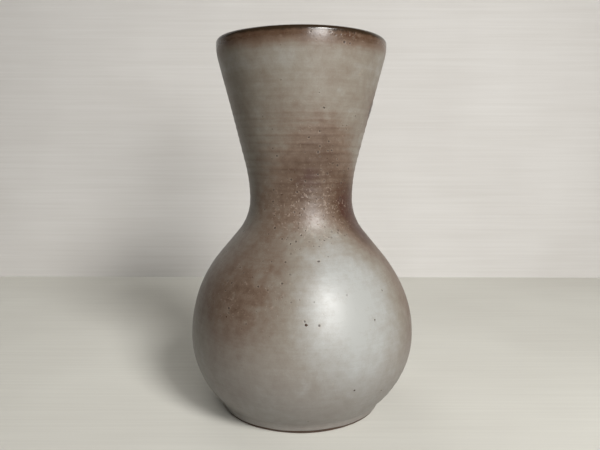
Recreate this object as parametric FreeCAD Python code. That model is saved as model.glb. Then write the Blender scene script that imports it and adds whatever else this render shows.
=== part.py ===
import FreeCAD, Part
import math
import os

# Wheel-thrown stoneware vase: a round belly, a narrow waist and a neck that flares to the mouth.
# Millimetres, +Z up. The origin is the centre of the foot, on the table. -Y is the front.
#
# Two thrown clay sections are luted together with slip at the waist. The pot is glazed outside
# and inside, with a dark band where the glaze runs thin over the lip, and its foot is bare.
# Each layer follows the outside surface pushed inwards by a depth, so layers that touch share
# one surface and nothing overlaps.

# ---- Outside surface, over the glaze ----
HEIGHT = 260.0
BELLY_HEIGHT = 53.6
BELLY_RADIUS = 80.3
BELLY_LOWER_ARC = 62.7
BELLY_UPPER_ARC = 89.3
WAIST_HEIGHT = 151.6
WAIST_RADIUS = 36.7
WAIST_LOWER_ARC = 37.3
WAIST_UPPER_ARC = 104.5
MOUTH_HEIGHT = 256.2
MOUTH_RADIUS = 59.0
MOUTH_ARC = 38.6

# ---- Foot ----
FOOT_RADIUS = 57.1
FOOT_TAPER_DEG = 20.0
FOOT_BLEND = 12.0
FOOT_BEVEL = 0.6
RECESS_RADIUS = 46.5
RECESS_DEPTH = 3.0
RECESS_BEVEL = 1.5

# ---- Wall, floor and glaze ----
WALL = 6.0
GLAZE = 0.5
FLOOR_HEIGHT = 8.0
FLOOR_FILLET = 12.0
GLAZE_LINE = 1.8
LIP_LINE = 257.4

# ---- Luted seam at the waist, sloping down towards the outside ----
SEAM_HEIGHT = WAIST_HEIGHT
SEAM_SLOPE_DEG = 35.0
SLIP_THICKNESS = 0.6

# ---- Dark pool of glaze on the neck. Azimuths run from the front towards +X. ----
POOL_AZIMUTH_DEG = 87.0
POOL_HEIGHT = 213.5
POOL_WIDTH = 21.0
POOL_TALL = 13.0
POOL_THICKNESS = 0.3

# ---- Iron spots: azimuth in degrees, height and radius of each one on the front ----
SPOT_DEPTH = 0.3
FRONT_SPOTS = (
    (2, 80, 1.15),
    (37, 79, 0.55),
    (-39, 80, 0.6),
    (25, 36, 0.8),
    (-1, 144, 0.7),
    (34, 141, 0.6),
    (-20, 156, 0.75),
    (-6, 171, 0.7),
    (25, 180, 0.6),
    (36, 201, 0.55),
)
BACK_SPOTS = 8
BACK_SPOT_LOWEST = 30.0
BACK_SPOT_HIGHEST = 225.0
BACK_SPOT_RADIUS = 0.65
GOLDEN_RATIO = (1 + math.sqrt(5)) / 2

# ---- Derived places. A point of the outline is (radius, height). ----
LIP_RADIUS = WALL / 2
BELLY_LOWER_CENTRE = (BELLY_RADIUS - BELLY_LOWER_ARC, BELLY_HEIGHT)
BELLY_UPPER_CENTRE = (BELLY_RADIUS - BELLY_UPPER_ARC, BELLY_HEIGHT)
WAIST_LOWER_CENTRE = (WAIST_RADIUS + WAIST_LOWER_ARC, WAIST_HEIGHT)
WAIST_UPPER_CENTRE = (WAIST_RADIUS + WAIST_UPPER_ARC, WAIST_HEIGHT)
MOUTH_CENTRE = (MOUTH_RADIUS - MOUTH_ARC, MOUTH_HEIGHT)
BEYOND = 2 * BELLY_RADIUS


# ---- Plane geometry ----
def along(start, direction, distance):
    """The point at a distance from a start in the direction of a unit vector."""
    return (start[0] + direction[0] * distance, start[1] + direction[1] * distance)


def unit(start, end):
    """Unit vector from one point towards another."""
    length = math.dist(start, end)
    return ((end[0] - start[0]) / length, (end[1] - start[1]) / length)


def on_circle(centre, radius, height):
    """The point of a circle's outer side at a height."""
    return (centre[0] + math.sqrt(radius**2 - (height - centre[1]) ** 2), height)


def crossing_tangent(bulge, bulge_radius, hollow, hollow_radius):
    """Outward unit normal of the straight wall between a bulge's arc and a hollow's arc.

    The wall leaves the bulge at bulge + radius * normal and reaches the hollow at
    hollow - radius * normal, and it keeps this normal when it is pushed inwards.
    """
    across = unit(bulge, hollow)
    sine = (bulge_radius + hollow_radius) / math.dist(bulge, hollow)
    cosine = math.sqrt(1 - sine**2)
    foot = (sine * across[0], sine * across[1])
    turned = (across[1], -across[0])
    return max(along(foot, turned, cosine), along(foot, turned, -cosine))


def foot_blend_centre():
    """Centre of the hollow arc that joins the foot's cone to the belly's lower arc."""
    climb = (-FOOT_NORMAL[1], FOOT_NORMAL[0])
    start = along((FOOT_RADIUS, 0), FOOT_NORMAL, FOOT_BLEND)
    offset = (start[0] - BELLY_LOWER_CENTRE[0], start[1] - BELLY_LOWER_CENTRE[1])
    nearest = -(offset[0] * climb[0] + offset[1] * climb[1])
    miss_squared = math.hypot(*offset) ** 2 - nearest**2
    reach = BELLY_LOWER_ARC + FOOT_BLEND
    return along(start, climb, nearest - math.sqrt(reach**2 - miss_squared))


FOOT_TAPER = math.radians(FOOT_TAPER_DEG)
FOOT_NORMAL = (math.cos(FOOT_TAPER), -math.sin(FOOT_TAPER))
FOOT_BLEND_CENTRE = foot_blend_centre()
SHOULDER_NORMAL = crossing_tangent(
    BELLY_UPPER_CENTRE, BELLY_UPPER_ARC, WAIST_LOWER_CENTRE, WAIST_LOWER_ARC
)
NECK_NORMAL = crossing_tangent(MOUTH_CENTRE, MOUTH_ARC, WAIST_UPPER_CENTRE, WAIST_UPPER_ARC)
LIP_CENTRE = on_circle(MOUTH_CENTRE, MOUTH_ARC - LIP_RADIUS, HEIGHT - LIP_RADIUS)
FLOOR_FILLET_CENTRE = on_circle(
    BELLY_LOWER_CENTRE, BELLY_LOWER_ARC - WALL - FLOOR_FILLET, FLOOR_HEIGHT + FLOOR_FILLET
)


# ---- Edges and solids ----
def vector(point):
    """A point of the outline as a vector in the XZ plane."""
    return FreeCAD.Vector(point[0], 0, point[1])


def lines(*points):
    """Straight edges from point to point."""
    return [Part.LineSegment(vector(a), vector(b)).toShape() for a, b in zip(points, points[1:])]


def arc(centre, radius, start, end):
    """The short arc between two points of a circle."""
    halfway = ((start[0] + end[0]) / 2, (start[1] + end[1]) / 2)
    middle = along(centre, unit(centre, halfway), radius)
    return Part.Arc(vector(start), vector(middle), vector(end)).toShape()


def revolved(edges):
    """The solid that a closed outline sweeps about the Z axis."""
    face = Part.Face(Part.Wire(edges))
    return face.revolve(FreeCAD.Vector(0, 0, 0), FreeCAD.Vector(0, 0, 1), 360)


def slab(low, high):
    """A disc wider than the pot, which keeps what lies between two heights."""
    return Part.makeCylinder(BEYOND, high - low, FreeCAD.Vector(0, 0, low))


def wall_edges(depth, start):
    """Edges of the wall at a depth, from a start on the belly up to the side of the lip."""
    belly = (BELLY_RADIUS - depth, BELLY_HEIGHT)
    shoulder_low = along(BELLY_UPPER_CENTRE, SHOULDER_NORMAL, BELLY_UPPER_ARC - depth)
    shoulder_high = along(WAIST_LOWER_CENTRE, SHOULDER_NORMAL, -WAIST_LOWER_ARC - depth)
    waist = (WAIST_RADIUS - depth, WAIST_HEIGHT)
    neck_low = along(WAIST_UPPER_CENTRE, NECK_NORMAL, -WAIST_UPPER_ARC - depth)
    neck_high = along(MOUTH_CENTRE, NECK_NORMAL, MOUTH_ARC - depth)
    lip_side = along(MOUTH_CENTRE, unit(MOUTH_CENTRE, LIP_CENTRE), MOUTH_ARC - depth)
    edges = [
        arc(BELLY_LOWER_CENTRE, BELLY_LOWER_ARC - depth, start, belly),
        arc(BELLY_UPPER_CENTRE, BELLY_UPPER_ARC - depth, belly, shoulder_low),
        *lines(shoulder_low, shoulder_high),
        arc(WAIST_LOWER_CENTRE, WAIST_LOWER_ARC + depth, shoulder_high, waist),
        arc(WAIST_UPPER_CENTRE, WAIST_UPPER_ARC + depth, waist, neck_low),
        *lines(neck_low, neck_high),
        arc(MOUTH_CENTRE, MOUTH_ARC - depth, neck_high, lip_side),
    ]
    return edges, lip_side


def filled_pot(depth):
    """The pot without its hollow, its outside pushed inwards by a depth."""
    foot_edge = FOOT_RADIUS - depth / math.cos(FOOT_TAPER)
    bevel_top = (foot_edge + FOOT_BEVEL * math.tan(FOOT_TAPER), FOOT_BEVEL)
    cone_top = along(FOOT_BLEND_CENTRE, FOOT_NORMAL, -FOOT_BLEND - depth)
    to_belly = unit(BELLY_LOWER_CENTRE, FOOT_BLEND_CENTRE)
    belly_start = along(BELLY_LOWER_CENTRE, to_belly, BELLY_LOWER_ARC - depth)
    wall, lip_side = wall_edges(depth, belly_start)
    lip_top = (LIP_CENTRE[0], HEIGHT - depth)
    recess_centre = (0, RECESS_DEPTH)
    recess_edge = (RECESS_RADIUS - RECESS_BEVEL, RECESS_DEPTH)
    ring_inside = (RECESS_RADIUS, 0)
    ring_outside = (foot_edge - FOOT_BEVEL, 0)
    return revolved(
        [
            *lines(recess_centre, recess_edge, ring_inside, ring_outside, bevel_top, cone_top),
            arc(FOOT_BLEND_CENTRE, FOOT_BLEND + depth, cone_top, belly_start),
            *wall,
            arc(LIP_CENTRE, LIP_RADIUS - depth, lip_side, lip_top),
            *lines(lip_top, (0, lip_top[1]), recess_centre),
        ]
    )


def hollow(growth):
    """The pot's hollow, open at the top, grown into the wall by a thickness."""
    depth = WALL - growth
    floor_centre = (0, FLOOR_HEIGHT - growth)
    floor_edge = (FLOOR_FILLET_CENTRE[0], FLOOR_HEIGHT - growth)
    to_belly = unit(BELLY_LOWER_CENTRE, FLOOR_FILLET_CENTRE)
    belly_start = along(BELLY_LOWER_CENTRE, to_belly, BELLY_LOWER_ARC - depth)
    wall, lip_side = wall_edges(depth, belly_start)
    lip_top = (LIP_CENTRE[0], HEIGHT - growth)
    above = HEIGHT + LIP_RADIUS
    return revolved(
        [
            *lines(floor_centre, floor_edge),
            arc(FLOOR_FILLET_CENTRE, FLOOR_FILLET + growth, floor_edge, belly_start),
            *wall,
            arc(LIP_CENTRE, LIP_RADIUS - growth, lip_side, lip_top),
            *lines(lip_top, (lip_top[0], above), (0, above), floor_centre),
        ]
    )


# ---- Clay ----
def seam():
    """The cone-shaped layer that slip fills between the two clay sections."""
    middle = WAIST_RADIUS - WALL / 2
    slope = math.radians(SEAM_SLOPE_DEG)
    inner_height = SEAM_HEIGHT + WALL * math.tan(slope)
    outer_height = SEAM_HEIGHT - WALL * math.tan(slope)
    half = SLIP_THICKNESS / 2 / math.cos(slope)
    first = (middle - WALL, inner_height - half)
    second = (middle + WALL, outer_height - half)
    third = (middle + WALL, outer_height + half)
    fourth = (middle - WALL, inner_height + half)
    return revolved(lines(first, second, third, fourth, first))


def clay_pieces(clay):
    """The belly section, the neck section and the slip between them."""
    zone = seam()
    belly, neck = sorted(clay.cut(zone).Solids, key=lambda solid: solid.CenterOfMass.z)
    return belly, neck, clay.common(zone)


# ---- Marks ----
def outwards(azimuth_deg, height):
    """Placement whose Z axis leaves the pot's axis at an azimuth, with its Y axis upwards."""
    to_front = FreeCAD.Rotation(FreeCAD.Vector(1, 0, 0), 90)
    around = FreeCAD.Rotation(FreeCAD.Vector(0, 0, 1), azimuth_deg)
    return FreeCAD.Placement(FreeCAD.Vector(0, 0, height), around.multiply(to_front))


def glaze_pool(outside):
    """The oval pool of dark glaze that stands a little proud of the neck."""
    oval = Part.Ellipse(FreeCAD.Vector(0, 0, 0), POOL_WIDTH / 2, POOL_TALL / 2)
    prism = Part.Face(Part.Wire(oval.toShape())).extrude(FreeCAD.Vector(0, 0, BEYOND))
    prism.Placement = outwards(POOL_AZIMUTH_DEG, POOL_HEIGHT)
    return filled_pot(-POOL_THICKNESS).cut(outside).common(prism)


def back_spots():
    """Spots round the back, each a golden-ratio step further up than the last."""
    span = BACK_SPOT_HIGHEST - BACK_SPOT_LOWEST
    for index in range(BACK_SPOTS):
        azimuth = 90 + 180 * (index + 0.5) / BACK_SPOTS
        share = (index * GOLDEN_RATIO) % 1
        yield azimuth, BACK_SPOT_LOWEST + span * share, BACK_SPOT_RADIUS


def iron_spots(outside):
    """Iron grains that have melted flush into the face of the outside glaze."""
    plugs = []
    for azimuth, height, radius in (*FRONT_SPOTS, *back_spots()):
        plug = Part.makeCylinder(radius, BEYOND)
        plug.Placement = outwards(azimuth, height)
        plugs.append(plug)
    return outside.cut(filled_pot(SPOT_DEPTH)).common(Part.makeCompound(plugs))


# ---- The whole pot ----
def pieces():
    """Every piece by name."""
    outside = filled_pot(0)
    inside = hollow(0)
    clay_outside = filled_pot(GLAZE)
    clay_inside = hollow(GLAZE)
    clay = clay_outside.cut(clay_inside)
    belly, neck, slip = clay_pieces(clay)
    spots = iron_spots(outside)
    coat = outside.cut(clay_outside).common(slab(GLAZE_LINE, LIP_LINE))
    skin = outside.cut(inside).cut(clay)
    return {
        "belly_section": belly,
        "neck_section": neck,
        "waist_luting_slip": slip,
        "outside_glaze": coat.cut(spots),
        "liner_glaze": clay_inside.cut(inside).common(slab(0, LIP_LINE)),
        "lip_glaze_band": skin.common(slab(LIP_LINE, HEIGHT)),
        "neck_glaze_pool": glaze_pool(outside),
        "iron_spots": spots,
    }


def export():
    """Writes each piece's solids to a STEP file of their own."""
    os.makedirs("parts", exist_ok=True)
    for name, shape in pieces().items():
        solids = Part.makeCompound(shape.Solids)
        solids.exportStep(os.path.join("parts", name + ".step"))
        print(f"{name}: {len(solids.Solids)} solids, {solids.Volume:.1f} mm3, {solids.isValid()}")


export()
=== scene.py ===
import math

import bmesh
import bpy
import numpy as np
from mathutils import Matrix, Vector


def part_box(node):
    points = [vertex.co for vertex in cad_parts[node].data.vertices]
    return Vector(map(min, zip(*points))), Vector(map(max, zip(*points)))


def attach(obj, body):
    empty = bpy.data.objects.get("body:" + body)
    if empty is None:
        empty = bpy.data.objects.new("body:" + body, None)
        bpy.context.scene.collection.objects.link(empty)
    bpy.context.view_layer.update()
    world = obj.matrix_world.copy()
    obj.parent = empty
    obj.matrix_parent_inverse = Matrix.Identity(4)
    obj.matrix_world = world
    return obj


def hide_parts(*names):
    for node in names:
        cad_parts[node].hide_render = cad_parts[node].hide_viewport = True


# Looks of the stoneware vase. Metres, in the CAD frame: +Z up, front towards -Y.
# Every layer of the pot is turned on one outline, as on the wheel. An outline is an array of
# (radius, height) rows, and an azimuth is an angle from the front towards +X, in radians.
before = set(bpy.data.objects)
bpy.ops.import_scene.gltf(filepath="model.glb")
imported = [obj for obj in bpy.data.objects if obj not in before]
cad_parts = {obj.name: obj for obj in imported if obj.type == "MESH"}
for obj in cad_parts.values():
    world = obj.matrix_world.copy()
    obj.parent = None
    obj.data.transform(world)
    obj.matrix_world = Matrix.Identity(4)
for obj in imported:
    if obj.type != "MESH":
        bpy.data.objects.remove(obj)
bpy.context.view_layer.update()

MM = 0.001

# ---- Read from the frame ----
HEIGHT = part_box("lip_glaze_band")[1].z
LIP_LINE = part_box("outside_glaze")[1].z
GLAZE_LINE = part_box("outside_glaze")[0].z
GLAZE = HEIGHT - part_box("neck_section")[1].z
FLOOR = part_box("liner_glaze")[0].z + GLAZE

# ---- Outside surface: arcs by radius and by the point where each is widest or narrowest ----
BELLY = (80.3 * MM, 53.6 * MM)
BELLY_LOWER_ARC = 62.7 * MM
BELLY_UPPER_ARC = 89.3 * MM
WAIST = (36.7 * MM, 151.6 * MM)
WAIST_LOWER_ARC = 37.3 * MM
WAIST_UPPER_ARC = 104.5 * MM
MOUTH = (59.0 * MM, 256.2 * MM)
MOUTH_ARC = 38.6 * MM

# ---- Foot, wall and seam ----
FOOT_RADIUS = 57.1 * MM
FOOT_TAPER = math.radians(20)
FOOT_BLEND = 12 * MM
FOOT_BEVEL = 0.6 * MM
RECESS_RADIUS = 46.5 * MM
RECESS_DEPTH = 3 * MM
RECESS_BEVEL = 1.5 * MM
FOOT_WEAR = 1.2 * MM
WALL = 6 * MM
FLOOR_FILLET = 12 * MM
SEAM_SLOPE = math.radians(35)
SLIP_THICKNESS = 0.6 * MM

# ---- Mesh density ----
SEGMENTS = 288
ARC_POINTS = 120
FINE_STEP = 0.3 * MM
VISIBLE_STEP = 1.2 * MM
INSIDE_STEP = 2 * MM
HIDDEN_STEP = 6 * MM
WELD = 0.001 * MM
SHARP_ANGLE = math.radians(40)

# ---- Throwing rings: (height, how far they stand out), both in mm ----
RING_PITCH = 5.1 * MM
RING_RELIEF = (
    (0, 0),
    (60, 0.012),
    (95, 0.02),
    (130, 0.02),
    (160, 0.08),
    (185, 0.16),
    (215, 0.08),
    (250, 0),
)
INSIDE_RING_PITCH = 9 * MM
INSIDE_RING_RELIEF = 0.35 * MM
TURNING_PITCH = 3.2 * MM
TURNING_RELIEF = 0.12 * MM

# ---- Unevenness of the whole wall ----
OUT_OF_ROUND = 0.004
BELLY_SHIFT = 1.1 * MM
BELLY_SHIFT_REACH = 45 * MM
RIM_WAVE = 0.25 * MM
UNEVEN = 0.0007
UNEVEN_WAVES = 14

# ---- Lower edge of the outside glaze ----
HEM_HEIGHT = 3.6 * MM
HEM_WAVE = 0.45 * MM
HEM_ROLL = 1.1 * MM
HEM_BEAD = 0.14 * MM

rng = np.random.default_rng(7)


# ---- Outline ----
def normal(angle):
    """Unit vector at an angle above the horizontal, as (radius, height)."""
    return np.stack([np.cos(angle), np.sin(angle)], axis=-1)


def angle_to(start, end):
    """Angle above the horizontal from one point to another."""
    return math.atan2(end[1] - start[1], end[0] - start[0])


def on_circle(centre, radius, height):
    """The point of a circle's outer side at a height."""
    return (centre[0] + math.sqrt(radius**2 - (height - centre[1]) ** 2), height)


def crossing_angle(bulge, bulge_radius, hollow, hollow_radius):
    """Angle of the outward normal of the straight wall between a bulge's arc and a hollow's arc."""
    across = angle_to(bulge, hollow)
    lean = math.acos((bulge_radius + hollow_radius) / math.dist(bulge, hollow))
    return min(across - lean, across + lean, key=abs)


def foot_blend_centre():
    """Centre of the hollow arc that joins the foot's cone to the belly's lower arc."""
    out = normal(-FOOT_TAPER)
    climb = np.array([-out[1], out[0]])
    start = np.array([FOOT_RADIUS, 0]) + FOOT_BLEND * out
    offset = start - BELLY_LOWER_CENTRE
    nearest = -offset @ climb
    reach = BELLY_LOWER_ARC + FOOT_BLEND
    return start + climb * (nearest - math.sqrt(reach**2 - offset @ offset + nearest**2))


BELLY_LOWER_CENTRE = (BELLY[0] - BELLY_LOWER_ARC, BELLY[1])
BELLY_UPPER_CENTRE = (BELLY[0] - BELLY_UPPER_ARC, BELLY[1])
WAIST_LOWER_CENTRE = (WAIST[0] + WAIST_LOWER_ARC, WAIST[1])
WAIST_UPPER_CENTRE = (WAIST[0] + WAIST_UPPER_ARC, WAIST[1])
MOUTH_CENTRE = (MOUTH[0] - MOUTH_ARC, MOUTH[1])
LIP_CENTRE = on_circle(MOUTH_CENTRE, MOUTH_ARC - WALL / 2, HEIGHT - WALL / 2)
FOOT_BLEND_CENTRE = foot_blend_centre()
FLOOR_FILLET_CENTRE = on_circle(
    BELLY_LOWER_CENTRE, BELLY_LOWER_ARC - WALL - FLOOR_FILLET, FLOOR + FLOOR_FILLET
)
SHOULDER_ANGLE = crossing_angle(
    BELLY_UPPER_CENTRE, BELLY_UPPER_ARC, WAIST_LOWER_CENTRE, WAIST_LOWER_ARC
)
NECK_ANGLE = crossing_angle(MOUTH_CENTRE, MOUTH_ARC, WAIST_UPPER_CENTRE, WAIST_UPPER_ARC)
LIP_ANGLE = angle_to(MOUTH_CENTRE, LIP_CENTRE)


def arc(centre, radius, start, end):
    """Rows along an arc between two normal angles. A hollow arc has a negative radius."""
    return np.array(centre) + radius * normal(np.linspace(start, end, ARC_POINTS))


def wall_rows(depth, first):
    """Rows of the wall at a depth, from a normal angle on the belly up to the side of the lip."""
    return np.vstack(
        [
            arc(BELLY_LOWER_CENTRE, BELLY_LOWER_ARC - depth, first, 0),
            arc(BELLY_UPPER_CENTRE, BELLY_UPPER_ARC - depth, 0, SHOULDER_ANGLE),
            arc(WAIST_LOWER_CENTRE, -WAIST_LOWER_ARC - depth, SHOULDER_ANGLE, 0),
            arc(WAIST_UPPER_CENTRE, -WAIST_UPPER_ARC - depth, 0, NECK_ANGLE),
            arc(MOUTH_CENTRE, MOUTH_ARC - depth, NECK_ANGLE, LIP_ANGLE),
        ]
    )


def outside_rows(depth):
    """Rows of the outside at a depth, from the table to the top of the lip."""
    belly_start = angle_to(BELLY_LOWER_CENTRE, FOOT_BLEND_CENTRE)
    return np.vstack(
        [
            [(FOOT_RADIUS - depth / math.cos(FOOT_TAPER), 0)],
            arc(FOOT_BLEND_CENTRE, -FOOT_BLEND - depth, -FOOT_TAPER, belly_start),
            wall_rows(depth, belly_start),
            arc(LIP_CENTRE, WALL / 2 - depth, LIP_ANGLE, math.pi / 2),
        ]
    )


def inside_rows(growth):
    """Rows of the hollow grown into the wall, from its floor's centre to the top of the lip."""
    belly_start = angle_to(BELLY_LOWER_CENTRE, FLOOR_FILLET_CENTRE)
    return np.vstack(
        [
            [(0, FLOOR - growth)],
            arc(FLOOR_FILLET_CENTRE, FLOOR_FILLET + growth, -math.pi / 2, belly_start),
            wall_rows(WALL - growth, belly_start),
            arc(LIP_CENTRE, WALL / 2 - growth, math.pi + LIP_ANGLE, math.pi / 2),
        ]
    )


def foot_rows():
    """Rows of the clay's underside, from its centre to the bevel round the foot."""
    edge = FOOT_RADIUS - GLAZE / math.cos(FOOT_TAPER)
    corners = [
        (0, RECESS_DEPTH),
        (RECESS_RADIUS - RECESS_BEVEL, RECESS_DEPTH),
        (RECESS_RADIUS, 0),
        (edge - FOOT_BEVEL, 0),
        (edge + FOOT_BEVEL * math.tan(FOOT_TAPER), FOOT_BEVEL),
    ]
    return worn(np.array(corners), FOOT_WEAR)


def spaced(rows, step):
    """Rows evenly spaced along an outline, from its start to its end."""
    distance = np.concatenate([[0], np.cumsum(np.hypot(*np.diff(rows, axis=0).T))])
    even = np.linspace(0, distance[-1], round(distance[-1] / step) + 2)
    return np.stack([np.interp(even, distance, column) for column in rows.T], axis=-1)


def cut(rows, low=-1, high=1):
    """The part of a rising outline between two heights."""
    index = np.arange(len(rows))
    first, last = np.interp([low, high], rows[:, 1], index)
    kept = index[(index > first) & (index < last)]
    at = np.concatenate([[first], kept, [last]])
    return np.stack([np.interp(at, index, column) for column in rows.T], axis=-1)


def worn(rows, reach):
    """Rows whose corners are rubbed round over a reach."""
    fine = spaced(rows, FINE_STEP)
    count = round(reach / FINE_STEP)
    padded = np.pad(fine, ((count, count), (0, 0)), mode="edge")
    kernel = np.ones(2 * count + 1) / (2 * count + 1)
    soft = np.stack([np.convolve(column, kernel, mode="valid") for column in padded.T], axis=-1)
    soft[[0, -1]] = fine[[0, -1]]
    return soft


# ---- Relief: how far a surface stands out along its outline's normal ----
def no_relief(azimuth, rows):
    return np.zeros((len(rows), len(azimuth)))


def ring_crest(azimuth, height):
    """The throwing spiral, from about -1 in its grooves to nearly 1 on its sharper crests."""
    drift = 0.9 * np.sin(2 * math.pi * height / (43 * MM) + 1.3)
    drift = drift + 0.5 * np.sin(2 * math.pi * height / (17 * MM) + 2 * azimuth)
    phase = math.pi * height / RING_PITCH + (azimuth + drift) / 2
    return 1.1 - 2 * np.sqrt(np.sin(phase) ** 2 + 0.04)


def throwing_rings(azimuth, height):
    """Relief of the outside's throwing rings."""
    heights, reliefs = np.array(RING_RELIEF).T * MM
    return np.interp(height, heights, reliefs) * ring_crest(azimuth, height)


def outside_relief(azimuth, rows):
    return throwing_rings(azimuth, rows[:, 1:])


def coat_relief(azimuth, rows):
    """Throwing rings, and the glaze's lower edge rolled under and swollen into a bead."""
    above = rows[:, 1:] - GLAZE_LINE
    missing = np.clip(1 - above / HEM_ROLL, 0, 1)
    roll = -GLAZE * (1 - np.sqrt(1 - missing**2))
    bead = HEM_BEAD * np.exp(-(((above - HEM_ROLL) / HEM_ROLL) ** 2)) * (1 - missing)
    return outside_relief(azimuth, rows) + roll + bead


def inside_relief(azimuth, rows):
    """Broad finger grooves, which fade out at the lip and in the middle of the floor."""
    radius, height = rows[:, :1], rows[:, 1:]
    phase = math.pi * (height - radius) / INSIDE_RING_PITCH + azimuth / 2
    fade = np.clip((HEIGHT - height) / (25 * MM), 0, 1) * np.clip(radius / (20 * MM), 0, 1)
    return INSIDE_RING_RELIEF * fade * (1 - 2 * np.abs(np.sin(phase)) ** 1.5)


def turning_relief(azimuth, rows):
    """The spiral that the turning tool left in the recess of the foot."""
    radius, height = rows[:, :1], rows[:, 1:]
    phase = math.pi * radius / TURNING_PITCH + azimuth / 2
    fade = np.clip(radius / (6 * MM), 0, 1) * (height > RECESS_DEPTH - 0.1 * MM)
    return TURNING_RELIEF * fade * (np.abs(np.sin(phase)) - 1)


# ---- Unevenness that all layers share ----
def uneven_waves():
    """Low waves round and up the wall: turns, wavelength and phase."""
    turns = rng.integers(1, 8, UNEVEN_WAVES)
    lengths = rng.uniform(30, 130, UNEVEN_WAVES) * MM
    phases = rng.uniform(0, 2 * math.pi, UNEVEN_WAVES)
    return list(zip(turns, lengths, phases))


WAVES = uneven_waves()


def lean(height):
    """How far the pot leans towards +X at a height: its belly sits a little off the foot's axis."""
    reach = np.exp(-(((height - BELLY[1]) / BELLY_SHIFT_REACH) ** 2))
    return BELLY_SHIFT * reach * np.clip(height / (20 * MM), 0, 1)


def placed(radius, height, azimuth):
    """Points in the frame, with the pot's unevenness. Its foot stays flat on the table."""
    swell = 1 + OUT_OF_ROUND * np.sin(math.pi * height / HEIGHT) * np.sin(2 * azimuth + 0.6)
    for turns, length, phase in WAVES:
        swell = swell + UNEVEN * np.sin(turns * azimuth + 2 * math.pi * height / length + phase)
    lift = RIM_WAVE * (height / HEIGHT) ** 6 * (np.sin(azimuth + 2) + 0.6 * np.sin(3 * azimuth))
    return np.stack(
        [
            radius * swell * np.sin(azimuth) + lean(height),
            -radius * swell * np.cos(azimuth),
            height + lift,
        ],
        axis=-1,
    )


def hem_slide(azimuth, rows):
    """How far the glaze's lower edge runs up or down the wall from its even line."""
    fade = np.clip(1 - (rows[:, 1:] - GLAZE_LINE) / HEM_HEIGHT, 0, 1) ** 2
    waves = np.sin(3 * azimuth + 1) + 0.8 * np.sin(7 * azimuth) + 0.5 * np.sin(16 * azimuth + 2)
    return HEM_WAVE * fade * (waves / 2 + 0.5)


def surface(rows, relief, slide=no_relief):
    """A grid of points: one ring for each row of an outline, with relief and slide added."""
    azimuth = np.linspace(0, 2 * math.pi, SEGMENTS, endpoint=False)
    along = np.gradient(rows, axis=0)
    along = along / np.linalg.norm(along, axis=1, keepdims=True)
    out, up = relief(azimuth, rows), slide(azimuth, rows)
    radius = rows[:, :1] + along[:, 1:] * out + along[:, :1] * up
    height = rows[:, 1:] - along[:, :1] * out + along[:, 1:] * up
    return placed(radius, height, azimuth)


# ---- Meshes ----
def grid_faces(grid, first):
    """Four-sided faces between the rings of a grid whose points are numbered from first.

    A grid that starts at a single point is open there. Any other grid closes on its first ring.
    """
    rings, points = grid.shape[:2]
    index = first + np.arange(rings * points).reshape(rings, points)
    above = np.roll(index, -1, axis=0)
    if np.ptp(grid[0], axis=0).max() < WELD:
        index, above = index[:-1], above[:-1]
    faces = [index, np.roll(index, -1, axis=1), np.roll(above, -1, axis=1), above]
    return np.stack(faces, axis=-1).reshape(-1, 4).tolist()


def piece(name, node, material, *grids):
    """Closed meshes made from grids, as one piece that stands for a CAD node."""
    points, faces = [], []
    for grid in grids:
        faces += grid_faces(grid, len(points))
        points += grid.reshape(-1, 3).tolist()
    mesh = bpy.data.meshes.new(name)
    mesh.from_pydata(points, [], faces)
    shape = bmesh.new()
    shape.from_mesh(mesh)
    bmesh.ops.remove_doubles(shape, verts=shape.verts, dist=WELD)
    bmesh.ops.recalc_face_normals(shape, faces=shape.faces)
    shape.to_mesh(mesh)
    shape.free()
    mesh.polygons.foreach_set("use_smooth", [True] * len(mesh.polygons))
    mesh.set_sharp_from_angle(angle=SHARP_ANGLE)
    mesh.materials.append(material)
    made = bpy.data.objects.new(name, mesh)
    bpy.context.scene.collection.objects.link(made)
    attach(made, "root")
    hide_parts(node)
    return made


def paint(made, name, amount):
    """Stores an amount that depends on azimuth and height on each point of a piece."""
    points = np.empty(len(made.data.vertices) * 3)
    made.data.vertices.foreach_get("co", points)
    x, y, height = points.reshape(-1, 3).T
    layer = made.data.attributes.new(name, "FLOAT", "POINT")
    layer.data.foreach_set("value", amount(np.arctan2(x - lean(height), -y), height))


# ---- Clay ----
def seam_height(radius, side):
    """Height of the slip's lower (-1) or upper (1) face at a radius."""
    half = SLIP_THICKNESS / 2 / math.cos(SEAM_SLOPE)
    return WAIST[1] + (WAIST[0] - WALL / 2 - radius) * math.tan(SEAM_SLOPE) + side * half


def seam_heights(side):
    """Heights of the slip's lower or upper face at the clay's outside and inside."""
    return seam_height(WAIST[0] - GLAZE, side), seam_height(WAIST[0] - WALL + GLAZE, side)


def belly_section():
    outer, inner = seam_heights(-1)
    hem_top = GLAZE_LINE + HEM_HEIGHT
    bare = spaced(cut(outside_rows(GLAZE), FOOT_BEVEL, hem_top), FINE_STEP)
    hidden = spaced(cut(outside_rows(GLAZE), hem_top, outer), HIDDEN_STEP)
    foot = surface(foot_rows(), turning_relief)
    wall = surface(np.vstack([bare, hidden[1:]]), no_relief)
    inside = surface(spaced(cut(inside_rows(GLAZE), high=inner), HIDDEN_STEP), no_relief)
    grid = np.concatenate([foot, wall, inside[::-1]])
    return piece("belly_clay", "belly_section", clay_material(), grid)


def neck_section():
    outer, inner = seam_heights(1)
    outside = surface(spaced(cut(outside_rows(GLAZE), low=outer), INSIDE_STEP), no_relief)
    inside = surface(spaced(cut(inside_rows(GLAZE), low=inner), INSIDE_STEP), no_relief)
    grid = np.concatenate([outside, inside[::-1]])
    return piece("neck_clay", "neck_section", clay_material(), grid)


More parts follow.
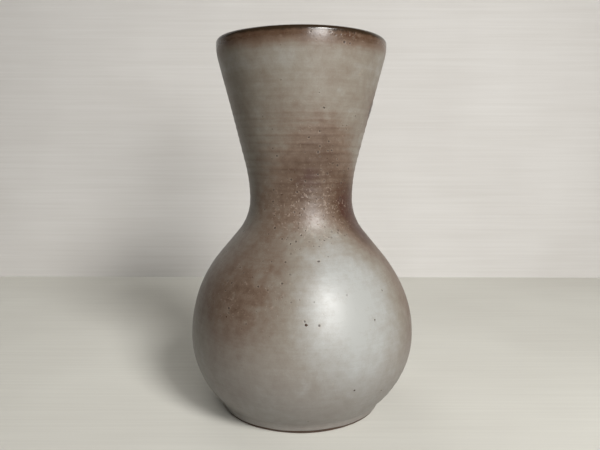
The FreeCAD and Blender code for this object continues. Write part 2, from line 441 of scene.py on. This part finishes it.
def waist_slip():
    sides = []
    faces = (outside_rows(GLAZE), inside_rows(GLAZE))
    for rows, low, high in zip(faces, seam_heights(-1), seam_heights(1)):
        sides.append(surface(spaced(cut(rows, low, high), FINE_STEP), no_relief))
    grid = np.concatenate([sides[0], sides[1][::-1]])
    return piece("waist_slip", "waist_luting_slip", slip_material(), grid)


# ---- Glazes ----
def outside_coat():
    hem_top = GLAZE_LINE + HEM_HEIGHT
    hem = spaced(cut(outside_rows(0), GLAZE_LINE, hem_top), FINE_STEP)
    rest = spaced(cut(outside_rows(0), hem_top, LIP_LINE), VISIBLE_STEP)
    outside = surface(np.vstack([hem, rest[1:]]), coat_relief, hem_slide)
    under = spaced(cut(outside_rows(GLAZE), GLAZE_LINE, LIP_LINE), HIDDEN_STEP)
    inside = surface(under, no_relief, hem_slide)
    grid = np.concatenate([outside, inside[::-1]])
    made = piece("outside_coat", "outside_glaze", glaze_material("outside_glaze"), grid)
    paint(made, "thin", thinness)
    paint(made, "pitted", pitting)
    return made


def lip_band():
    sides = [
        surface(spaced(cut(outside_rows(0), low=LIP_LINE), FINE_STEP), outside_relief),
        surface(spaced(cut(inside_rows(0), low=LIP_LINE), FINE_STEP), no_relief)[::-1],
        surface(spaced(cut(inside_rows(GLAZE), low=LIP_LINE), FINE_STEP), no_relief),
        surface(spaced(cut(outside_rows(GLAZE), low=LIP_LINE), FINE_STEP), no_relief)[::-1],
    ]
    made = piece("lip_band", "lip_glaze_band", glaze_material("lip_glaze"), np.concatenate(sides))
    paint(made, "thin", thinness)
    paint(made, "pitted", pitting)
    return made


def liner():
    face = surface(spaced(cut(inside_rows(0), high=LIP_LINE), INSIDE_STEP), inside_relief)
    back = surface(spaced(cut(inside_rows(GLAZE), high=LIP_LINE), HIDDEN_STEP), no_relief)
    return piece("liner_coat", "liner_glaze", liner_material(), np.concatenate([face, back[::-1]]))


# ---- Where the outside glaze is thinner (or thicker, below 0): (height in mm, amount) all round, and
# patches (azimuth and its reach in degrees, height and its reach in mm, amount) ----
THIN_LEVELS = (
    (0, 0.42),
    (45, 0.39),
    (65, 0.36),
    (234, 0.38),
    (238, 0.32),
    (246, 0.36),
    (250, 0.56),
    (254, 0.78),
)
THIN_PATCHES = (
    (28, 32, 84, 50, -0.38),
    (22, 38, 165, 32, 0.35),
    (8, 30, 192, 26, 0.12),
    (-22, 40, 155, 28, 0.2),
    (67, 30, 143, 25, 0.6),
    (-39, 37, 94, 38, 0.26),
    (86, 34, 84, 57, 0.29),
    (-150, 45, 70, 45, -0.34),
    (170, 40, 172, 28, 0.4),
    (-112, 34, 146, 22, 0.42),
    (128, 30, 98, 22, 0.3),
    (87, 20, 214, 16, 0.34),
)
PATCH_STEEPNESS = 1.5
CREST_THINNING = 0.2
CREST_HEIGHTS = (140, 172, 205, 225)
PITTED_EVERYWHERE = 0.015
PITTED_PATCHES = (
    (12, 58, 144, 24, 0.7),
    (15, 42, 186, 26, 0.35),
    (-30, 30, 94, 18, 0.5),
    (12, 16, 94, 12, 0.08),
    (24, 28, 252, 6, 0.5),
    (170, 90, 150, 28, 0.55),
)


def patches(table, azimuth, height):
    """Sum of soft patches at each azimuth and height."""
    total = 0 * height
    for degrees, wide, level, tall, amount in table:
        turn = (azimuth - math.radians(degrees) + math.pi) % (2 * math.pi) - math.pi
        away = (turn / math.radians(wide)) ** 2 + ((height - level * MM) / (tall * MM)) ** 2
        total = total + amount * np.exp(-(away**PATCH_STEEPNESS))
    return total


def thinness(azimuth, height):
    """How thin the outside glaze is: 0 is thick and grey, 1 is thin and red-brown."""
    levels, amounts = np.array(THIN_LEVELS).T
    strong = np.interp(height / MM, CREST_HEIGHTS, (0, 1, 1, 0))
    crests = CREST_THINNING * strong * ring_crest(azimuth, height).clip(0, 1) ** 2
    return np.interp(height / MM, levels, amounts) + patches(THIN_PATCHES, azimuth, height) + crests


def pitting(azimuth, height):
    """Share of possible pinholes that opened."""
    return PITTED_EVERYWHERE + patches(PITTED_PATCHES, azimuth, height)


# ---- Marks on the glaze ----
OUTLINE = outside_rows(0)
MARK_SPOKES = 40
MARK_RINGS = 8
MARK_SINK = 0.04 * MM
POOL_RISE = 0.45 * MM
SPOT_RISE = 0.07 * MM
SPOT_ROOT = 0.25 * MM
SPOT_SPACING = 4 * MM
SPOT_FLATNESS = 0.85


def on_outside(azimuth, height, proud):
    """Points a distance proud of the outside surface."""
    index = np.arange(len(OUTLINE))
    at = np.interp(height, OUTLINE[:, 1], index)
    run, rise = (np.interp(at, index, column) for column in np.gradient(OUTLINE, axis=0).T)
    radius = np.interp(at, index, OUTLINE[:, 0])
    out = (proud + throwing_rings(azimuth, height)) / np.hypot(rise, run)
    return placed(radius + rise * out, height - run * out, azimuth)


def blob(azimuth, height, half_width, half_height, rise, root):
    """A grid for a domed, slightly ragged mark melted into the outside surface."""
    spoke = np.linspace(0, 2 * math.pi, MARK_SPOKES, endpoint=False)
    phases = rng.uniform(0, 2 * math.pi, 3)
    ragged = 1 + sum(0.05 * np.sin((turn + 2) * spoke + phase) for turn, phase in enumerate(phases))
    reach = np.sin(np.linspace(0, math.pi / 2, MARK_RINGS))[:, None]
    around = azimuth + reach * half_width * ragged * np.cos(spoke) / np.interp(height, *OUTLINE.T[::-1])
    up = height + reach * half_height * ragged * np.sin(spoke)
    dome = np.sqrt(1 - reach**2) + 0 * spoke
    face = on_outside(around, up, rise * dome - MARK_SINK)
    back = on_outside(around, up, -root * dome - MARK_SINK)
    return np.concatenate([face, back[::-1]])


def neck_pool():
    low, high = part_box("neck_glaze_pool")
    centre = (low + high) / 2
    azimuth = math.atan2(centre.x, -centre.y)
    grid = blob(azimuth, centre.z, (high.y - low.y) / 2, (high.z - low.z) / 2, POOL_RISE, POOL_RISE)
    material = iron_material("pool_glaze", colour(20, 13, 10), colour(48, 31, 22))
    return piece("neck_pool", "neck_glaze_pool", material, grid)


def cad_spots():
    """Azimuth, height and radius of each iron spot in the CAD model."""
    groups = []
    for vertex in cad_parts["iron_spots"].data.vertices:
        near = [group for group in groups if (group[0] - vertex.co).length < SPOT_SPACING]
        if near:
            near[0].append(vertex.co)
        else:
            groups.append([vertex.co])
    for group in groups:
        centre = sum(group, Vector()) / len(group)
        radius = (max(point.z for point in group) - min(point.z for point in group)) / 2
        yield math.atan2(centre.x, -centre.y), centre.z, radius


def iron_specks():
    grids = [
        blob(azimuth, height, radius, SPOT_FLATNESS * radius, SPOT_RISE, SPOT_ROOT)
        for azimuth, height, radius in cad_spots()
    ]
    material = iron_material("iron_speck", colour(50, 38, 32), colour(82, 62, 50))
    return piece("iron_specks", "iron_spots", material, *grids)


# ---- Materials ----
def colour(red, green, blue):
    """A colour in display values from 0 to 255, as the linear colour that nodes take."""
    display = np.array([red, green, blue]) / 255
    linear = np.where(display > 0.04045, ((display + 0.055) / 1.055) ** 2.4, display / 12.92)
    return (*linear.tolist(), 1.0)


class Shader:
    """A material's nodes. Sizes are in mm, and each method returns the output of a new node."""

    def __init__(self, name):
        self.material = bpy.data.materials.new(name)
        self.material.use_nodes = True
        self.tree = self.material.node_tree
        self.surface = self.tree.nodes["Principled BSDF"]
        here = self.add("TexCoord", {}, "Object")
        self.place = self.add("VectorMath", {0: here, "Scale": 1 / MM}, operation="SCALE")
        self.height = self.add("SeparateXYZ", {0: self.place}, "Z")

    def add(self, kind, inputs, output=0, **settings):
        node = self.tree.nodes.new("ShaderNode" + kind)
        for name, value in settings.items():
            setattr(node, name, value)
        for name, value in inputs.items():
            self.feed(node.inputs[name], value)
        return node.outputs[output]

    def feed(self, socket, value):
        if isinstance(value, bpy.types.NodeSocket):
            self.tree.links.new(value, socket)
        else:
            socket.default_value = value

    def math(self, operation, first, second=0.0):
        return self.add("Math", {0: first, 1: second}, operation=operation)

    def total(self, *terms):
        """Sum of (weight, value) terms."""
        result = 0.0
        for weight, value in terms:
            result = self.add("Math", {0: value, 1: weight, 2: result}, operation="MULTIPLY_ADD")
        return result

    def share(self, value, low, high):
        """0 at low, 1 at high and smooth between."""
        inputs = {"Value": value, "From Min": low, "From Max": high}
        return self.add("MapRange", inputs, interpolation_type="SMOOTHSTEP")

    def mix(self, share, first, second):
        return self.add("Mix", {0: share, 6: first, 7: second}, 2, data_type="RGBA")

    def stored(self, name):
        return self.add("Attribute", {}, "Fac", attribute_name=name)

    def stretched(self, size, stretch):
        scale = [share / size for share in stretch]
        return self.add("VectorMath", {0: self.place, 1: scale}, operation="MULTIPLY")

    def noise(self, size, detail=2.0, stretch=(1, 1, 1)):
        """Noise about zero, with features of a size, finer along an axis with more stretch."""
        inputs = {"Vector": self.stretched(size, stretch), "Scale": 1.0, "Detail": detail}
        return self.math("SUBTRACT", self.add("TexNoise", inputs), 0.5)

    def ramp(self, share, *stops):
        """Colours at positions from 0 to 1."""
        node = self.tree.nodes.new("ShaderNodeValToRGB")
        self.feed(node.inputs[0], share)
        elements = node.color_ramp.elements
        elements.remove(elements[1])
        elements[0].position, elements[0].color = stops[0]
        for position, value in stops[1:]:
            elements.new(position).color = value
        return node.outputs[0]

    def wandering(self, size, reach):
        """Places that noise of a size has moved by up to a reach."""
        noise = self.add("TexNoise", {"Vector": self.stretched(size, (1, 1, 1)), "Scale": 1.0}, "Color")
        shift = self.add("VectorMath", {0: noise, "Scale": 2 * reach}, operation="SCALE")
        return self.add("VectorMath", {0: self.place, 1: shift}, operation="ADD")

    def dots(self, size, radius, chance):
        """Uneven cores and the rims round them, for a chance of the cells of a size."""
        here = self.wandering(3 * radius, radius)
        cells = self.tree.nodes.new("ShaderNodeTexVoronoi")
        scaled = self.add("VectorMath", {0: here, "Scale": 1 / size}, operation="SCALE")
        self.feed(cells.inputs["Vector"], scaled)
        self.feed(cells.inputs["Scale"], 1.0)
        luck = self.tree.nodes.new("ShaderNodeSeparateColor")
        self.feed(luck.inputs[0], cells.outputs["Color"])
        chosen = self.math("LESS_THAN", luck.outputs["Red"], chance)
        strength = self.math("MULTIPLY", chosen, self.total((0.7, luck.outputs["Blue"]), (1, 0.3)))
        reach = self.math("MULTIPLY", self.total((0.9, luck.outputs["Green"]), (1, 0.4)), radius / size)
        away = self.math("DIVIDE", cells.outputs["Distance"], reach)
        core = self.math("MULTIPLY", self.share(away, 1.0, 0.5), strength)
        rim = self.math("MULTIPLY", self.share(away, 1.8, 1.1), strength)
        return core, self.math("SUBTRACT", rim, core)

    def finish(self, base, roughness, bump, **others):
        """Sets the surface. Bump is a height in mm, and other inputs are named with underscores."""
        tilt = self.add("Bump", {"Height": bump, "Distance": MM, "Strength": 1.0})
        values = {"Base Color": base, "Roughness": roughness, "Normal": tilt}
        values.update({name.replace("_", " ").title(): value for name, value in others.items()})
        for name, value in values.items():
            self.feed(self.surface.inputs[name], value)
        return self.material


def glaze_tone(shader, streaks, mottle, grain, pitted):
    """The glaze's colour: grey where it is thick, red-brown where it is thin, cooler low down."""
    thin = shader.total(
        (1, shader.stored("thin")),
        (0.2, shader.noise(35, 2)),
        (0.25, shader.noise(12, 3)),
        (1, shader.math("MULTIPLY", mottle, shader.total((0.35, pitted), (1, 0.25)))),
        (0.12, streaks),
        (0.16, grain),
    )
    base = shader.ramp(
        thin,
        (0.0, colour(147, 148, 145)),
        (0.36, colour(119, 112, 102)),
        (0.62, colour(98, 82, 70)),
        (0.82, colour(76, 58, 45)),
        (1.0, colour(62, 38, 28)),
    )
    cool = shader.math("MULTIPLY", shader.share(shader.height, 90, 15), 0.32)
    return shader.mix(cool, base, colour(118, 120, 124))


def glaze_marks(shader, base, pitted):
    """The colour with pale flecks, pinholes and specks on it, then the pinholes and the flecks. The
    pinholes' pale rims are partly pale crater edges and partly painted highlight.
    """
    clusters = shader.math("MULTIPLY", pitted, shader.total((3, shader.noise(9, 2)), (1, 1.1)))
    flecks = shader.share(shader.total((1, shader.noise(1.7, 2)), (0.14, clusters)), 0.2, 0.29)
    pits, rims = shader.dots(3.0, 0.85, clusters)
    specks, _ = shader.dots(11, 0.5, 0.08)
    crust = shader.math("MULTIPLY", flecks, shader.total((0.26, pitted), (1, 0.07)))
    base = shader.mix(crust, base, colour(168, 152, 138))
    # Pale rims round the pinholes: partly the craters' pale edges, partly painted highlight where light
    # catches them.
    base = shader.mix(shader.math("MULTIPLY", rims, 0.1), base, colour(178, 164, 148))
    base = shader.mix(shader.math("MULTIPLY", pits, 0.9), base, colour(40, 28, 22))
    base = shader.mix(shader.math("MULTIPLY", specks, 0.6), base, colour(62, 44, 34))
    return base, pits, flecks


def dark_lip(shader, base, pitted):
    """The colour with the ragged dark edge of the lip on it, then the gloss that starts below it."""
    reach = shader.total((8, pitted), (1, 0.6))
    runs = shader.math("MULTIPLY", shader.noise(1.2, 2, (1, 1, 0.25)), reach)
    edge = shader.total((1, shader.height), (1.6, shader.noise(7, 2)), (1, runs))
    lip = shader.share(edge, LIP_LINE / MM - 1.4, LIP_LINE / MM + 0.6)
    base = shader.mix(lip, base, colour(40, 29, 18))
    return base, shader.share(edge, LIP_LINE / MM - 8, LIP_LINE / MM - 1)


def glaze_material(name):
    """Satin stoneware glaze, grey where thick and iron brown where thin, dark over the lip."""
    shader = Shader(name)
    streaks = shader.noise(1.3, 3, (0.03, 0.03, 1))
    mottle = shader.noise(5, 4)
    grain = shader.noise(0.9, 3)
    pitted = shader.stored("pitted")
    base = glaze_tone(shader, streaks, mottle, grain, pitted)
    base, pits, flecks = glaze_marks(shader, base, pitted)
    base, glossy = dark_lip(shader, base, pitted)
    satin = shader.total((1, 0.42), (0.12, mottle), (-0.2, glossy), (0.1, grain))
    wrinkles = shader.math("MULTIPLY", shader.noise(2.2, 3), pitted)
    waves = shader.total((0.05, mottle), (0.035, grain), (0.015, streaks), (0.2, wrinkles))
    bump = shader.total((1, waves), (-0.16, pits), (0.07, flecks))
    return shader.finish(base, satin, bump)


def liner_material():
    """Glossy dark brown liner, paler and thicker where it has run down the wall."""
    shader = Shader("liner_glaze")
    runs = shader.noise(6, 3, (1, 1, 0.12))
    mottle = shader.noise(3, 3)
    base = shader.ramp(
        shader.total((1, 0.5), (0.9, runs), (0.5, mottle)),
        (0.15, colour(46, 28, 18)),
        (0.5, colour(74, 48, 32)),
        (0.85, colour(112, 84, 62)),
    )
    cores, rims = shader.dots(5, 0.4, 0.25)
    base = shader.mix(cores, base, colour(24, 16, 12))
    edge = shader.total((1, shader.height), (3, shader.noise(4, 3, (1, 1, 0.3))))
    lip = shader.share(edge, LIP_LINE / MM - 5, LIP_LINE / MM)
    base = shader.mix(lip, base, colour(58, 36, 22))
    bump = shader.total((0.05, mottle), (0.05, runs), (-0.12, cores), (0.03, rims))
    gloss = shader.total((1, 0.22), (0.1, mottle))
    return shader.finish(base, gloss, bump, coat_weight=0.3, coat_roughness=0.1)


def clay_material():
    """Bare toasted stoneware with sandy grog and iron specks, with painted shade for the foot's contact
    shadow.
    """
    shader = Shader("stoneware_clay")
    grog = shader.noise(0.7, 3)
    toast = shader.noise(18, 3)
    base = shader.ramp(
        shader.total((1, 0.5), (0.8, toast), (0.5, grog)),
        (0.1, colour(84, 58, 42)),
        (0.5, colour(122, 88, 64)),
        (0.9, colour(158, 126, 98)),
    )
    cores, rims = shader.dots(2.4, 0.4, 0.3)
    base = shader.mix(cores, base, colour(58, 38, 28))
    base = shader.mix(shader.math("MULTIPLY", rims, 0.2), base, colour(182, 158, 132))
    # Painted shade: above its lowest 0.8 mm the clay is darkened nearly to black for the foot's contact
    # shadow. This also darkens the recess under the pot.
    outside = shader.share(shader.height, 0.1, 0.8)
    base = shader.mix(shader.math("MULTIPLY", outside, 0.85), base, colour(40, 30, 24))
    bump = shader.total((0.09, grog), (-0.1, cores), (0.05, shader.noise(2.5, 2)))
    return shader.finish(base, shader.total((1, 0.82), (0.2, grog)), bump)


def slip_material():
    """Fine dark slip."""
    shader = Shader("luting_slip")
    grain = shader.noise(0.6, 3)
    share = shader.total((1, 0.5), (0.9, grain))
    base = shader.ramp(share, (0.2, colour(92, 68, 52)), (0.8, colour(134, 108, 86)))
    return shader.finish(base, 0.85, shader.total((0.04, grain)))


def iron_material(name, dark, pale):
    """Dark iron glass, browner where it is thin."""
    shader = Shader(name)
    flow = shader.noise(5, 3, (1, 1, 0.5))
    grain = shader.noise(1.5, 2)
    base = shader.ramp(shader.total((1, 0.5), (1.4, flow), (0.3, grain)), (0.2, dark), (0.8, pale))
    return shader.finish(base, shader.total((1, 0.26), (0.15, grain)), shader.total((0.08, flow)))


belly_section()
neck_section()
waist_slip()
outside_coat()
lip_band()
liner()
neck_pool()
iron_specks()

# ---- Floor and backdrop ----
ROOM = 1.0
BACKDROP_DISTANCE = 0.413


def sheet(name, corners, material):
    """A flat sheet of the stage, which shows in the render but casts no shadow."""
    mesh = bpy.data.meshes.new(name)
    mesh.from_pydata(corners, [], [range(len(corners))])
    mesh.materials.append(material)
    made = bpy.data.objects.new(name, mesh)
    bpy.context.scene.collection.objects.link(made)
    made.visible_shadow = False


def paint_material(name, dark, pale):
    """Pale matt paint with faint brush marks, on one side of a sheet that is clear from behind."""
    shader = Shader(name)
    brush = shader.noise(3, 3, (0.02, 1, 1))
    share = shader.total((1, 0.5), (0.7, brush), (0.8, shader.noise(160, 2)))
    base = shader.ramp(share, (0.2, dark), (0.8, pale))
    back = shader.add("NewGeometry", {}, "Backfacing")
    clear = shader.add("BsdfTransparent", {})
    shown = shader.add("MixShader", {0: back, 1: shader.surface.outputs[0], 2: clear})
    shader.feed(shader.tree.nodes["Material Output"].inputs["Surface"], shown)
    return shader.finish(base, 0.9, shader.total((0.05, brush)))


def stage():
    left, right, back = -ROOM, ROOM, BACKDROP_DISTANCE
    floor = [(left, -ROOM, 0), (right, -ROOM, 0), (right, back, 0), (left, back, 0)]
    wall = [(left, back, 0), (right, back, 0), (right, back, ROOM), (left, back, ROOM)]
    sheet("floor", floor, paint_material("floor_paint", colour(198, 196, 188), colour(210, 209, 201)))
    sheet("backdrop", wall, paint_material("wall_paint", colour(194, 191, 187), colour(206, 204, 201)))


# ---- Light and camera ----
LIGHT_DISTANCE = 1.5
LIGHTS = {
    "high_window": {"azimuth": 32, "elevation": 34, "size": 0.48, "power": 8.7},
    "low_window": {"azimuth": 24, "elevation": 12, "size": 0.6, "power": 4.7},
    "back_fill": {"azimuth": 205, "elevation": 38, "size": 1.2, "power": 1.6},
}
LIGHT_SPREAD = math.radians(110)
LIGHT_COLOUR = (0.995, 0.982, 0.965)
AMBIENT = 0.06
CAMERA = (0, -0.41058, 0.18468)
CAMERA_TILT = math.radians(-7.41)
CAMERA_ROLL = math.radians(-0.12)
CAMERA_LENS = 34.13
CAMERA_SHIFT = -0.0015


def soft_light(name, azimuth, elevation, size, power):
    """A soft round light that faces the middle of the pot."""
    light = bpy.data.lights.new(name, "AREA")
    light.shape = "DISK"
    light.size = size
    light.energy = power
    light.spread = LIGHT_SPREAD
    light.color = LIGHT_COLOUR
    lamp = bpy.data.objects.new(name, light)
    turn, climb = math.radians(azimuth), math.radians(elevation)
    flat = math.cos(climb)
    away = Vector((math.sin(turn) * flat, -math.cos(turn) * flat, math.sin(climb)))
    lamp.location = Vector((0, 0, HEIGHT / 2)) + LIGHT_DISTANCE * away
    lamp.rotation_mode = "QUATERNION"
    lamp.rotation_quaternion = away.to_track_quat("Z", "Y")
    bpy.context.scene.collection.objects.link(lamp)


def ambient_light():
    """A pale room to look at, which lights the pot only dimly."""
    world = bpy.data.worlds.new("room")
    world.use_nodes = True
    background = world.node_tree.nodes["Background"]
    background.inputs["Color"].default_value = colour(214, 211, 205)
    seen = world.node_tree.nodes.new("ShaderNodeLightPath").outputs["Is Camera Ray"]
    strength = world.node_tree.nodes.new("ShaderNodeMapRange")
    strength.inputs["To Min"].default_value = AMBIENT
    world.node_tree.links.new(seen, strength.inputs["Value"])
    world.node_tree.links.new(strength.outputs[0], background.inputs["Strength"])
    bpy.context.scene.world = world


def camera():
    view = bpy.data.cameras.new("camera")
    view.lens = CAMERA_LENS
    view.shift_x = CAMERA_SHIFT
    view.clip_start = 0.01
    made = bpy.data.objects.new("camera", view)
    made.location = CAMERA
    made.rotation_euler = (math.pi / 2 + CAMERA_TILT, CAMERA_ROLL, 0)
    bpy.context.scene.collection.objects.link(made)
    bpy.context.scene.camera = made


stage()
for light_name, light_settings in LIGHTS.items():
    soft_light(light_name, **light_settings)
ambient_light()
camera()
bpy.context.scene.view_settings.view_transform = "Standard"
